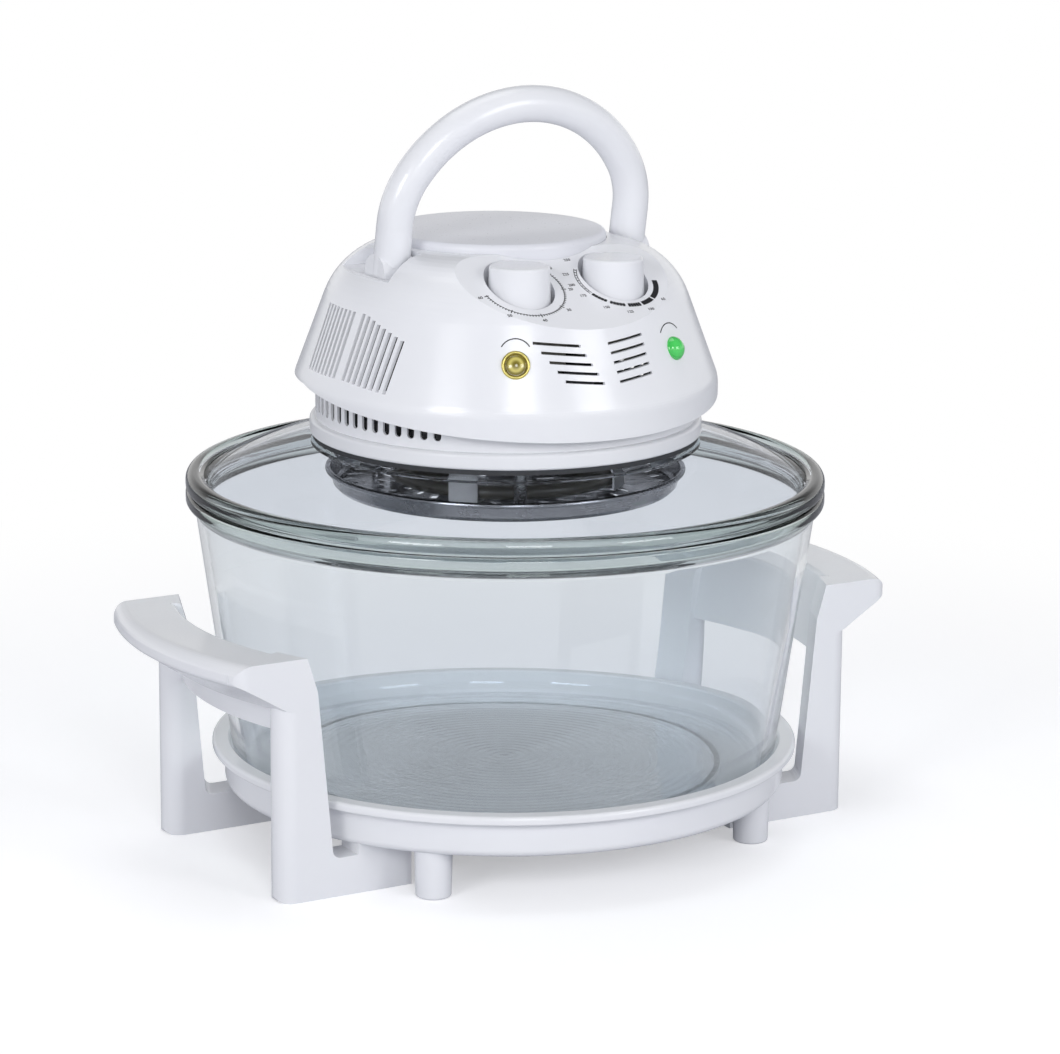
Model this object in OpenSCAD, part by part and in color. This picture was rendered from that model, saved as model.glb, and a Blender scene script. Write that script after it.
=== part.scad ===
/* [Glass bowl] */
// Outer radius of the bowl lip and of the lid rim
rim_r = 165; // [155:1:200]
// Height of the bowl from its foot to its lip
bowl_h = 150; // [110:1:190]
// How far the bowl wall leans out over its height
bowl_taper = 19.4; // [8:0.2:26]
// Glass thickness of the bowl
bowl_t = 5.5; // [4:0.1:8]
// Width of the step between the bowl wall and its lip
lip_step = 5.2; // [4:0.1:8]
// Height of the bowl lip
lip_h = 7.5; // [5:0.1:12]

/* [Base] */
// Height of the feet
foot_h = 25; // [21:1:45]
// Radius of a foot
foot_r = 9; // [6:0.5:12]
// Distance of the feet from the X and Y axes
foot_pos = 94; // [85:1:96]
// Height of the base tray without its feet
base_h = 23; // [16:1:36]
// How far the tray lip stands out past its wall
base_lip = 6.5; // [3:0.5:10]
// Wall thickness of the base tray
base_wall = 2.6; // [2:0.1:4]
// Thickness of the tray floor
base_floor = 3; // [2:0.1:5]
// Height of the ribs that carry the bowl
rib_h = 3; // [2:0.1:6]
// Clearance between bowl and tray lip
bowl_gap = 0.8; // [0.4:0.1:2]

/* [Side frames] */
// Distance between the centres of the two posts of a frame
post_pitch = 128; // [104:1:140]
// Width of arms and posts, front to back
post_w = 18; // [14:1:22]
// Height of an arm
arm_h = 20; // [12:1:20]
// Top of the grip above the table
grip_z = 124.5; // [112:0.5:150]
// Width of the grip, bowl side to outer edge
grip_w = 32; // [26:1:40]
// Height of the grip's outer lip
grip_lip = 9.5; // [8:0.5:16]
// Height of the skirt below the top of the grip
skirt_h = 40; // [34:1:50]
// Clearance between the widest part of the base and the posts
frame_gap = 4.5; // [3:0.5:8]

/* [Lid] */
// Height of the lid rim
lid_rim_h = 9; // [7:0.5:14]
// Rise of the lid from its rim to its crown
lid_rise = 17.5; // [8:0.5:30]
// Thickness of the lid glass
lid_t = 5; // [4:0.1:7]
// Clearance between locating ring and bowl mouth
lid_gap = 0.9; // [0.4:0.1:2]
// Thickness of the gasket under the head
gasket_t = 2.5; // [1.5:0.1:4]

/* [Head] */
// Radius of the head's flange
flange_r = 101; // [95:1:112]
// Height of the flange
flange_h = 8.5; // [7:0.5:12]
// Height of the slotted collar above the flange
collar_h = 24; // [18:1:30]
// Largest radius of the hood
hood_r = 109; // [104:1:122]
// Height of the hood's top above the flange's underside
hood_h = 99; // [92:1:112]
// Wall thickness of the hood
hood_t = 2.8; // [2:0.1:3.5]
// Slope of the control panel in degrees
panel_slope = 28.8; // [22:0.2:34]
// Radius of the top cap
cap_r = 57; // [45:0.5:57]
// Distance of the cap's centre behind the head's axis
cap_back = 12; // [8:0.5:14]

/* [Controls] */
// Radius of the knobs
knob_r = 15.8; // [12:0.2:17]
// Height of the knobs
knob_h = 22.4; // [18:0.2:24]
// Distance of each knob from the centre line
knob_x = 27.2; // [24:0.2:32]
// Distance of the knobs in front of the axis
knob_y = 60; // [56:0.5:64]
// Radius of the control shafts
shaft_r = 3; // [2:0.1:4]

/* [Handle] */
// Half the distance between the handle's legs
handle_x = 69; // [68.5:0.1:74]
// Radius of the handle's tube
handle_tube = 9.3; // [7:0.1:9.4]
// Straight length of a leg above its pivot
leg_h = 25.7; // [22:0.1:45]
// Angle that each corner bend of the handle turns through
bend_turn = 32; // [20:1:45]
// Rise of the arch above the straight legs
arch_h = 59.2; // [56:0.1:66]
// Forward lean of the handle at rest in degrees
lean = 10.4; // [0:0.1:14]
// Angle behind upright at which the folded handle stops
fold_back = 62; // [50:1:63]

/* [Hidden] */
$fn = 96;

// Colours as the photograph shows them
abs_white = [0.93, 0.93, 0.96];
glass_tint = [0.80, 0.88, 0.87, 0.45];
steel = [0.62, 0.63, 0.65];
dark_steel = [0.35, 0.36, 0.38];
rubber_grey = [0.30, 0.31, 0.33];

// Clearances
run_fit = 0.06;
seat_fit = 0.1;
big = 400;

// Levels of the base and the bowl
z_tray = foot_h;
z_bowl = z_tray + base_floor + rib_h;
z_tray_top = z_tray + base_h;
z_lip = z_bowl + bowl_h;
z_neck = z_lip - lip_h - 5.5;
wall_top_r = rim_r - lip_step;
wall_low_r = wall_top_r - bowl_taper;
wall_slope = atan(bowl_taper / (z_neck - z_bowl));
bowl_corner = 14;
rib_ring_r = wall_low_r - bowl_corner - 14;
function bowl_r(z) = wall_low_r + (z - z_bowl) * tan(wall_slope);
tray_in_r = bowl_r(z_tray_top) + bowl_gap;
tray_r = tray_in_r + base_wall;
tray_lip_r = tray_r + base_lip;

// Side frames
frame_in_r = tray_lip_r + frame_gap;
post_y = post_pitch / 2;
post_round = post_w / 2;
post_x = sqrt(pow(frame_in_r, 2) - pow(post_y, 2)) + 15.2;
arm_in = foot_pos + 1;
grip_in_r = rim_r + 6.5;
grip_r = grip_in_r + grip_w;
end_y = post_y + post_w / 2;
grip_round = 8;
post_lean = 7;
frame_screw_x = [arm_in + 7, arm_in + 21];
frame_screw_r = 2;

// Levels of the lid and the head
z_lid = z_lip + lid_rim_h;
z_crown = z_lid + lid_rise;
z_head = z_crown + gasket_t;
plate_t = 3;
hole_r = flange_r - 10;
crown_r = flange_r + 3;
bead_w = 9.5;
collar_r = flange_r - 3;
collar_t = 2.5;
z_collar = z_head + flange_h + collar_h;
z_hood = z_head + hood_h;

// Shape of the hood
shoulder_r = 42;
shoulder_x = hood_r - 55;
side_slope = 20.4;
waist_r = 19;
z_shoulder = z_hood - shoulder_r;
z_waist = z_shoulder
    - (waist_r - shoulder_r - (waist_r - hood_r + shoulder_x) * cos(side_slope)) / sin(side_slope);
z_chin = z_head + 15.3;
z_edge = z_head + 30.5;
chin_y = -105;
edge_y = 20;
panel_y = -81;
z_panel = z_hood - 23.5;
function panel_z(y) = z_panel + (y - panel_y) * tan(panel_slope);

// Knob wells and shafts
z_well = z_head + 73.5;
well_floor = 2;
well_gap = 2;
knob_lift = 0.8;
z_knob = z_well + knob_lift;
unit_h = 24;

// Cap, handle pivot and its pocket
z_cap = z_hood - 8;
cap_h = 13.5;
cap_t = 2.5;
z_pivot = z_hood - 12;
pivot_y = -3;
pin_r = 3;
hub_r = handle_tube + 1.5;
pocket_gap = 1;
pocket_t = 2.2;
pin_in = 18;
pin_out = handle_tube - 1.3;
z_landing = z_pivot - 0.5;

// Parts below the head
reflector_r = hole_r - 3.5;
reflector_t = 1;
heater_r = 57;
heater_tube = 3.5;
z_heater = z_head - 21;
guard_r = 93;
guard_floor_r = 87;
z_guard = z_head - 29;
guard_h = 9;
guard_t = 1;
spacer_ring = 73;
spacer_turn = [6, 126, 246];
bracket_turn = [40, 130, 220, 310];
tab_turn = [60, 180, 300];
motor_shaft_r = 2.5;
z_motor = z_head + 24;

// Convex fall of the lid's dome from its crown (s = 0) to its rim (s = 1)
function dome(s) = (lid_rise + 2.2) * (0.6 * s + 0.4 * s * s);

function arc(cx, cy, r, a0, a1, n = 8) =
    [for (i = [0:n]) let (a = a0 + (a1 - a0) * i / n) [cx + r * cos(a), cy + r * sin(a)]];

// Places copies of its children on a circle
module ring_of(turns, radius) {
    for (turn = turns) rotate([0, 0, turn]) translate([radius, 0, 0]) children();
}

module tube(r_out, r_in, h) {
    difference() {
        cylinder(r = r_out, h = h);
        translate([0, 0, -1]) cylinder(r = r_in, h = h + 2);
    }
}

// Extrudes a YZ outline along X over the given width, centred on X = 0
module along_x(width) {
    rotate([90, 0, 90]) translate([0, 0, -width / 2]) linear_extrude(height = width) children();
}

// ---------------------------------------------------------------- base

module base_tray() color(abs_white) {
    lip_z = z_tray_top - 4.5;
    difference() {
        union() {
            rotate_extrude($fn = 160) polygon(concat(
                [[0, z_tray]],
                arc(tray_r - 4, z_tray + 4, 4, -90, 0),
                [[tray_r, lip_z], [tray_lip_r - 1, lip_z]],
                arc(tray_lip_r - 1, lip_z + 1, 1, -90, 0, 3),
                arc(tray_lip_r - 2, z_tray_top - 2, 2, 0, 90, 5),
                [[tray_in_r + 1, z_tray_top], [tray_in_r, z_tray_top - 1],
                    [tray_in_r, z_tray + base_floor + 2], [tray_in_r - 2, z_tray + base_floor],
                    [0, z_tray + base_floor]]));
            translate([0, 0, z_tray + base_floor / 2])
                tube(rib_ring_r + 1.5, rib_ring_r - 1.5, base_floor / 2 + rib_h);
            for (sx = [-1, 1], sy = [-1, 1]) in_quadrant(sx, sy) arm_pad();
        }
        for (sx = [-1, 1], sy = [-1, 1]) in_quadrant(sx, sy) frame_screw_holes(z_tray + base_floor - 1);
    }
}

// Mirrors its children into one of the four quadrants
module in_quadrant(sx, sy) {
    mirror([sx < 0 ? 1 : 0, 0, 0]) mirror([0, sy < 0 ? 1 : 0, 0]) children();
}

module arm_pad() {
    translate([arm_in, post_y - post_w / 2, arm_h])
        cube([30, post_w, z_tray - arm_h + base_floor / 2]);
}

module frame_screw_holes(top) {
    for (x = frame_screw_x) translate([x, post_y, -1]) {
        cylinder(r = frame_screw_r + seat_fit, h = top + 1, $fn = 24);
        cylinder(r = 2 * frame_screw_r + 0.4, h = 9, $fn = 32);
    }
}

module base_feet() color(abs_white)
    for (sx = [-1, 1], sy = [-1, 1]) translate([sx * foot_pos, sy * foot_pos, 0])
        rotate_extrude($fn = 48) polygon(concat(
            [[0, 0]],
            arc(foot_r - 1.2, 1.2, 1.2, -90, 0, 4),
            [[foot_r + 0.6, foot_h], [0, foot_h]]));

// ---------------------------------------------------------------- side frames

// Upright plan outline of the posts, rounded at their outer side
module post_plan() {
    for (sy = [-1, 1]) {
        translate([0, sy * post_y - post_w / 2, -1]) cube([post_x, post_w, grip_z + 1]);
        translate([post_x, sy * post_y, -1]) cylinder(r = post_round, h = grip_z + 1, $fn = 64);
    }
}

// Side view of an arm and its post, from the arm's inner end to the outer edge
module leg_profile() {
    in_x = post_x - 24;
    out_x = post_x + post_round;
    polygon(concat(
        [[arm_in, 0]],
        arc(out_x - 3, 3, 3, -90, 0, 5),
        [[out_x, grip_z], [in_x, grip_z]],
        [[in_x, arm_h + 5]],
        arc(frame_in_r - 31, arm_h + 5, 5, 0, -90, 6),
        [[arm_in, arm_h]]));
}

module grip_section() {
    polygon(concat(
        [[grip_in_r - 6.5, grip_z - skirt_h], [grip_in_r - 2.5, grip_z - skirt_h],
            [grip_in_r - 0.5, grip_z - 28], [grip_in_r + 8, grip_z - 25.5]],
        arc(grip_r - 2.5, grip_z - grip_lip + 1, 2.5, -70, 0, 4),
        arc(grip_r - 7, grip_z - 7, 7, 15, 90, 7),
        arc(grip_in_r + 3, grip_z - 3, 3, 90, 160, 5)));
}

// Keeps the grip between the end planes and rounds its outer corners
module grip_plan() {
    inner_y = end_y - grip_round;
    corner_x = sqrt(pow(grip_r - grip_round, 2) - pow(inner_y, 2));
    translate([0, -inner_y, 0]) cube([big, 2 * inner_y, big]);
    translate([0, -end_y, 0]) cube([corner_x, 2 * end_y, big]);
    for (sy = [-1, 1]) translate([corner_x, sy * inner_y, 0]) cylinder(r = grip_round, h = big, $fn = 48);
}

module side_frame() {
    swing = asin(end_y / grip_in_r) + 4;
    difference() {
        union() {
            intersection() {
                for (sy = [-1, 1]) translate([0, sy * post_y + post_w / 2, 0])
                    rotate([90, 0, 0]) linear_extrude(height = post_w) leg_profile();
                post_plan();
            }
            intersection() {
                rotate([0, 0, -swing]) rotate_extrude(angle = 2 * swing, $fn = 160) grip_section();
                grip_plan();
            }
        }
        rotate_extrude($fn = 160) polygon(concat(
            [[arm_in + 32, arm_h]],
            arc(frame_in_r - 4, arm_h + 4, 4, -90, 0, 5),
            [[frame_in_r + post_lean, grip_z - 18], [grip_in_r - 2, grip_z + 1], [arm_in + 32, grip_z + 1]]));
        for (sy = [-1, 1]) in_quadrant(1, sy) frame_screw_holes(arm_h + 5);
    }
}

module side_frame_right() color(abs_white) side_frame();
module side_frame_left() color(abs_white) mirror([1, 0, 0]) side_frame();

module frame_screws() color(steel)
    for (sx = [-1, 1], sy = [-1, 1]) in_quadrant(sx, sy)
        for (x = frame_screw_x) translate([x, post_y, 0]) {
            translate([0, 0, 5]) cylinder(r = 2 * frame_screw_r, h = 3, $fn = 32);
            translate([0, 0, 5]) cylinder(r = frame_screw_r, h = z_tray + base_floor - 6.5, $fn = 24);
        }

// ---------------------------------------------------------------- bowl and lid

module glass_bowl() color(glass_tint) {
    centre_z = z_bowl + bowl_corner;
    centre_r = bowl_r(centre_z) - bowl_corner / cos(wall_slope);
    in_top = wall_top_r - bowl_t / cos(wall_slope);
    rotate_extrude($fn = 160) polygon(concat(
        [[0, z_bowl]],
        arc(centre_r, centre_z, bowl_corner, -90, -wall_slope),
        [[wall_top_r, z_neck], [wall_top_r + 0.6, z_neck + 3]],
        arc(rim_r - 2, z_lip - lip_h + 2, 2, -90, 0, 5),
        arc(rim_r - 1.5, z_lip - 1.5, 1.5, 0, 90, 4),
        [[in_top + 1, z_lip], [in_top, z_lip - 1], [in_top, z_neck]],
        arc(centre_r, centre_z, bowl_corner - bowl_t, -wall_slope, -90),
        [[0, z_bowl + bowl_t]]));
}

module glass_lid() color(glass_tint) {
    mouth_r = wall_top_r - bowl_t / cos(wall_slope) - lid_gap;
    dome_in = rim_r - bead_w;
    steps = 10;
    top = [for (i = [steps:-1:0]) let (s = i / steps)
        [crown_r + (dome_in - crown_r) * s, z_crown - dome(s)]];
    low = [for (i = [0:steps]) let (s = i / steps)
        [crown_r + (dome_in - 3 - crown_r) * s, z_crown - lid_t - dome(s) * 0.9]];
    rotate_extrude($fn = 160) polygon(concat(
        [[mouth_r, z_lip]],
        arc(rim_r - 1.5, z_lip + 1.5, 1.5, -90, 0, 4),
        arc(rim_r - 3, z_lid - 3, 3, 0, 90, 6),
        [[dome_in + 2.5, z_lid]],
        top,
        [[hole_r, z_crown], [hole_r, z_crown - lid_t]],
        low,
        [[mouth_r - 2.8, z_lip - 3.5], [mouth_r - 0.6, z_lip - 3.5], [mouth_r, z_lip - 2.8]]));
}

module lid_gasket() color(rubber_grey)
    translate([0, 0, z_crown]) tube(flange_r - 1.5, hole_r + 0.4, gasket_t, $fn = 160);

module clamp_ring() color(steel) {
    tab_z = z_crown - lid_t - 1.3;
    translate([0, 0, z_crown - 2.8]) tube(hole_r - 0.5, hole_r - 2.8, gasket_t + 2.8, $fn = 160);
    ring_of(tab_turn, 0) {
        translate([hole_r - 2.5, -7, tab_z]) cube([1.7, 14, lid_t + 1]);
        translate([hole_r - 2.5, -7, tab_z]) cube([7, 14, 1.2]);
    }
}

// ---------------------------------------------------------------- head housing

post_turns = [45, 135, 225, 315];
post_ring = 84;
screw_r = 1.6;

module head_base() color(abs_white) difference() {
    union() {
        rotate_extrude($fn = 160) polygon(concat(
            [[12, z_head]],
            arc(flange_r - 1.5, z_head + 1.5, 1.5, -90, 0, 4),
            arc(flange_r - 2, z_head + flange_h - 2, 2, 0, 90, 5),
            [[collar_r, z_head + flange_h], [collar_r, z_collar], [collar_r - collar_t, z_collar],
                [collar_r - collar_t, z_head + plate_t], [12, z_head + plate_t]]));
        ring_of(post_turns, post_ring) translate([0, 0, z_head]) cylinder(r = 5.5, h = z_collar - z_head, $fn = 32);
    }
    ring_of(post_turns, post_ring) translate([0, 0, z_head - 1]) {
        cylinder(r = screw_r + seat_fit, h = big, $fn = 24);
        cylinder(r = 2 * screw_r + 0.3, h = 3.6, $fn = 32);
    }
    for (side = [0, 1]) mirror([side, 0, 0])
        for (i = [0:16]) rotate([0, 0, 220 - 4.3 * i]) translate([collar_r - 1, 0, z_head + 15]) collar_slot();
}

// Upright slot with a rounded foot
module collar_slot() {
    slot_w = 4;
    slot_h = 13;
    translate([-4, -slot_w / 2, 0]) cube([8, slot_w, slot_h]);
    translate([-4, 0, 0]) rotate([0, 90, 0]) cylinder(d = slot_w, h = 8, $fn = 24);
}

// Outer shape of the hood drawn in by an inset; only the outer one follows the chin line
module hood_form(inset, closed_below) {
    low = z_head - 20;
    top_y = panel_y + (z_hood - inset - z_panel) / tan(panel_slope);
    intersection() {
        rotate_extrude($fn = 160) polygon(concat(
            [[0, low], [hood_r - inset, low]],
            arc(hood_r - waist_r, z_waist, waist_r - inset, 0, side_slope, 5),
            arc(shoulder_x, z_shoulder, shoulder_r - inset, side_slope, 90, 14),
            [[0, z_hood - inset]]));
        along_x(2 * big) polygon(concat(
            closed_below
                ? [[-big, z_chin + (-big - chin_y) * (z_edge - z_chin) / (edge_y - chin_y)],
                    [edge_y, z_edge], [big, z_edge]]
                : [[-big, low - 1], [big, low - 1]],
            [[big, z_hood + big], [top_y + big / tan(panel_slope), z_hood + big - inset],
                [-big, panel_z(-big) - inset / cos(panel_slope)]]));
    }
}

// Side outline of the room the folding leg needs, grown by a wall where asked
module pocket_outline(grow) {
    half = handle_tube + pocket_gap + grow;
    reach = 70;
    round_r = hub_r + pocket_gap + grow;
    back = -fold_back;
    front = lean;
    low_n = 6;
    translate([pivot_y, z_pivot]) polygon(concat(
        [[-half * cos(front) - reach * sin(front), -half * sin(front) + reach * cos(front)]],
        arc(0, 0, round_r, 180 + front, 270 + back + 60, low_n),
        arc(0, 0, round_r, 270 + back + 60, 360 + back, 3),
        [[half * cos(back) - reach * sin(back), half * sin(back) + reach * cos(back)],
            [reach, reach + 30]]));
}

module handle_pocket(grow) {
    pocket_w = 2 * (handle_tube + pocket_gap + grow);
    for (sx = [-1, 1]) translate([sx * handle_x, 0, 0]) along_x(pocket_w) pocket_outline(grow);
}

// Flat landing round each leg of the handle, open to the side, grown by a wall where asked
module leg_landing(grow) {
    in_x = handle_x - handle_tube - pocket_gap;
    for (sx = [-1, 1]) in_quadrant(sx, 1) translate([0, 0, z_landing - grow]) linear_extrude(height = big)
        polygon([[in_x - grow, pivot_y - 11 - grow], [in_x + 44, pivot_y - 28 - grow],
            [in_x + 44, pivot_y + 37 + grow], [in_x - grow, pivot_y + 37 + grow]]);
}

module hood() color(abs_white) difference() {
    union() {
        difference() {
            hood_form(0, true);
            hood_form(hood_t, false);
        }
        intersection() {
            hood_form(0, true);
            union() {
                translate([0, cap_back, z_cap - cap_t]) cylinder(r = cap_r + 3, h = cap_h);
                for (sx = [-1, 1]) translate([sx * knob_x, -knob_y, z_well - well_floor])
                    cylinder(r = knob_r + well_gap + 2, h = big);
                intersection() {
                    handle_pocket(pocket_t);
                    translate([-big, pivot_y - hub_r - 4, z_pivot - hub_r - 4]) cube([2 * big, 56, big]);
                }
                leg_landing(pocket_t);
                for (sx = [-1, 1]) in_quadrant(sx, 1)
                    translate([handle_x - pin_in - 1.5, pivot_y, z_pivot]) rotate([0, 90, 0])
                        cylinder(r = pin_r + 2.6, h = pin_in - handle_tube + 1, $fn = 48);
                ring_of(post_turns, post_ring) translate([0, 0, z_collar])
                    cylinder(r = 5, h = z_hood - z_collar, $fn = 32);
            }
        }
    }
    translate([0, cap_back, z_cap]) cylinder(r = cap_r + 0.3, h = big);
    for (sx = [-1, 1]) translate([sx * knob_x, -knob_y, z_well]) {
        cylinder(r = knob_r + well_gap, h = big);
        translate([0, 0, -big / 2]) cylinder(r = shaft_r + 1, h = big, $fn = 32);
    }
    handle_pocket(0);
    leg_landing(0);
    pin_pair(pin_r + 0.02, 0.02);
    ring_of(post_turns, post_ring) translate([0, 0, z_head]) cylinder(r = screw_r + seat_fit, h = 58, $fn = 24);
    front_vents();
    for (side = [0, 1]) mirror([side, 0, 0]) side_vents();
    lamp_place(-1) translate([0, 0, -8]) cylinder(r = lamp_stem + seat_fit, h = 16, $fn = 32);
    lamp_place(1) translate([0, 0, -8]) cylinder(r = lamp_stem + seat_fit, h = 16, $fn = 32);
    inlet_place() translate([0, 0, -12]) cylinder(r = inlet_r + seat_fit, h = 24, $fn = 32);
}

// Two fans of five slots each on the front wall
module front_vents() {
    vent_h = 1.4;
    for (i = [0:4]) {
        z = z_head + 62 - 4.6 * i;
        left_x0 = -36.5 + 3.1 * i;
        left_x1 = -13.2 + 2.4 * i;
        right_x0 = 1.8 + 0.8 * i;
        right_x1 = 23.7 + 0.6 * i;
        vent_cut((left_x0 + left_x1) / 2, left_x1 - left_x0, z, 6, vent_h);
        vent_cut((right_x0 + right_x1) / 2, right_x1 - right_x0, z, -6, vent_h);
    }
}

module vent_cut(x, length, z, tilt, height) {
    translate([x, -hood_r, z]) rotate([0, tilt, 0])
        translate([-length / 2, -10, -height / 2]) cube([length, 40, height]);
}

// Two groups of eight upright slots on one side wall
module side_vents() {
    slot_w = 2.3;
    pitch = 4;
    for (first = [-46, -10], i = [0:7]) {
        y = first + pitch * i;
        top = z_head + 71 + min(0, (y + 20) * 0.37);
        low = z_head + 38.3 + min(0, (y + 20) * 0.1);
        translate([hood_r - 39, y - slot_w / 2, low]) cube([52, slot_w, top - low]);
    }
}

module top_cap() color(abs_white) translate([0, cap_back, z_cap]) difference() {
    rotate_extrude($fn = 128) polygon(concat(
        [[0, 0], [cap_r, 0]],
        arc(cap_r - 3, cap_h - 4, 3, 0, 80, 6),
        [[cap_r * 0.6, cap_h - 0.3], [0, cap_h]]));
    translate([0, 0, -1]) cylinder(r = cap_r - cap_t, h = cap_h - cap_t - 1);
}

module hood_screws() color(steel)
    ring_of(post_turns, post_ring) translate([0, 0, z_head + 0.2]) {
        cylinder(r = 2 * screw_r, h = 2.4, $fn = 32);
        cylinder(r = screw_r, h = 54, $fn = 24);
    }

// ---------------------------------------------------------------- under the head

module reflector() color(steel) difference() {
    union() {
        rotate_extrude($fn = 128) polygon([[12, z_head - reflector_t], [reflector_r - 8, z_head - reflector_t],
            [reflector_r - 1, z_head - 5], [reflector_r, z_head - 5], [reflector_r - 7, z_head], [12, z_head]]);
    }
    ring_of([for (i = [0:23]) 15 * i + 7.5], 34) translate([0, -1.5, z_head - 5]) cube([22, 3, 10]);
}

module heater_ring() color([0.30, 0.29, 0.22])
    translate([0, 0, z_heater]) rotate([0, 0, 90 + 14]) rotate_extrude(angle = 332, $fn = 128)
        translate([heater_r, 0]) circle(r = heater_tube, $fn = 32);

module heater_terminals() color([0.90, 0.89, 0.84])
    for (side = [-1, 1]) rotate([0, 0, 90 + side * 14]) translate([heater_r, 0, z_heater]) {
        rotate([side * 90, 0, 0]) cylinder(r = heater_tube + 1, h = 9, $fn = 32);
        translate([-2.5, -side * 6 - 2.5, 0]) cube([5, 5, z_head - reflector_t - z_heater]);
    }

module heater_brackets() color(steel) {
    strap_w = 15.5;
    strap_t = 1;
    hook_r = heater_tube + 0.5;
    ring_of(bracket_turn, heater_r) translate([0, -strap_w / 2, z_heater]) {
        translate([hook_r, 0, -2]) cube([strap_t, strap_w, z_head - reflector_t - z_heater + 2]);
        translate([-hook_r - strap_t, 0, -hook_r - strap_t]) cube([2 * (hook_r + strap_t), strap_w, strap_t]);
        translate([-hook_r - strap_t, 0, -hook_r - strap_t]) cube([strap_t, strap_w, hook_r + 1]);
        translate([hook_r, 0, -hook_r - strap_t]) cube([strap_t, strap_w, hook_r + 1]);
    }
}

module guard_spacers() color(dark_steel)
    ring_of(spacer_turn, spacer_ring) translate([0, 0, z_guard + guard_t])
        tube(3.2, screw_r + seat_fit, z_head - reflector_t - z_guard - guard_t, $fn = 32);

module guard_tray() color(dark_steel) difference() {
    rotate_extrude($fn = 160) polygon(concat(
        [[0, z_guard], [guard_floor_r, z_guard], [guard_floor_r + 2, z_guard + 2],
            [guard_r - 2.6, z_guard + guard_h - 1]],
        arc(guard_r - 1.4, z_guard + guard_h, 1.4, -60, 180, 8),
        [[guard_floor_r + 0.8, z_guard + guard_t + 1.6], [guard_floor_r - 0.6, z_guard + guard_t],
            [0, z_guard + guard_t]]));
    for (ring = [[24, 12, 35], [37, 18, -35], [50, 26, 35], [63.5, 32, -35], [80, 42, 30]])
        ring_of([for (i = [0:ring[1] - 1]) 360 / ring[1] * i], ring[0])
            rotate([0, 0, ring[2]]) translate([-4.5, -1.9, z_guard - 1]) cube([9, 3.8, 4]);
    ring_of(spacer_turn, spacer_ring) translate([0, 0, z_guard - 1]) cylinder(r = screw_r + seat_fit, h = 4, $fn = 24);
}

module guard_screws() color(steel)
    ring_of(spacer_turn, spacer_ring) translate([0, 0, z_guard - 2]) {
        cylinder(r = 2 * screw_r, h = 2, $fn = 32);
        cylinder(r = screw_r, h = 16, $fn = 24);
    }

// ---------------------------------------------------------------- fan drive

motor_r = 26;
motor_h = 24;

module motor_bracket() color(steel) {
    span = 72;
    strip_t = 2;
    strip_w = 22;
    difference() {
        translate([-span, -strip_w / 2, z_motor - strip_t]) cube([2 * span, strip_w, strip_t]);
        translate([0, 0, z_motor - 5]) cylinder(r = 8, h = 10, $fn = 48);
    }
    for (sx = [-1, 1]) translate([sx * (span - strip_t / 2) - strip_t / 2, -strip_w / 2, z_head + plate_t])
        cube([strip_t, strip_w, z_motor - z_head - plate_t]);
}

module fan_motor() color([0.45, 0.44, 0.42]) difference() {
    union() {
        translate([0, 0, z_motor]) cylinder(r = motor_r, h = motor_h, $fn = 64);
        translate([0, 0, z_motor + motor_h - 1]) cylinder(r = 9, h = 4, $fn = 48);
        translate([-30, -8, z_motor]) cube([60, 16, 5]);
    }
    translate([0, 0, z_motor - 1]) cylinder(r = motor_shaft_r + run_fit, h = motor_h + 6, $fn = 48);
}

module motor_shaft() color([0.75, 0.76, 0.78])
    translate([0, 0, z_guard + 6]) cylinder(r = motor_shaft_r, h = z_motor + motor_h - z_guard - 2, $fn = 48);

// Flat blades set at a pitch round a hub
module fan_wheel(hub, tip, count, chord, pitch_angle, depth) {
    difference() {
        union() {
            cylinder(r = hub, h = depth, $fn = 48);
            for (i = [0:count - 1]) rotate([0, 0, 360 / count * i])
                translate([hub - 1, 0, depth / 2]) rotate([pitch_angle, 0, 0])
                    translate([0, -chord / 2, -0.6]) cube([tip - hub + 1, chord, 1.2]);
        }
        translate([0, 0, -1]) cylinder(r = motor_shaft_r, h = depth + 2, $fn = 48);
    }
}

module cooling_fan() color([0.70, 0.71, 0.73])
    translate([0, 0, z_head + 8]) fan_wheel(8, 58, 7, 20, 22, 10);

module convection_fan() color([0.70, 0.71, 0.73])
    translate([0, 0, z_guard + 9]) fan_wheel(7, 44, 6, 20, 24, 9);

// ---------------------------------------------------------------- controls

module control_unit(sx) difference() {
    unit_w = 34;
    translate([sx * knob_x, -knob_y, z_well - well_floor - unit_h]) {
        translate([-unit_w / 2, -unit_w / 2, 0]) cube([unit_w, unit_w, unit_h - 2]);
        cylinder(r = shaft_r + 5, h = unit_h, $fn = 48);
    }
    translate([sx * knob_x, -knob_y, z_well - well_floor - unit_h + 4])
        cylinder(r = shaft_r + run_fit, h = unit_h, $fn = 48);
}

module control_shaft(sx)
    translate([sx * knob_x, -knob_y, z_well - well_floor - unit_h + 4.5])
        cylinder(r = shaft_r, h = unit_h + well_floor + knob_lift + knob_h - 10, $fn = 48);

module control_knob(sx) translate([sx * knob_x, -knob_y, z_knob]) difference() {
    rotate_extrude($fn = 96) polygon(concat(
        [[0, 0], [knob_r - 0.6, 0], [knob_r, 0.6]],
        arc(knob_r - 2.1, knob_h - 1.5, 1.5, 0, 90, 6),
        [[0, knob_h]]));
    translate([0, 0, -1]) tube(knob_r - 2.2, shaft_r + 3, knob_h - 2);
    translate([0, 0, -1]) cylinder(r = shaft_r, h = knob_h - 4.5 + 1, $fn = 48);
}

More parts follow.
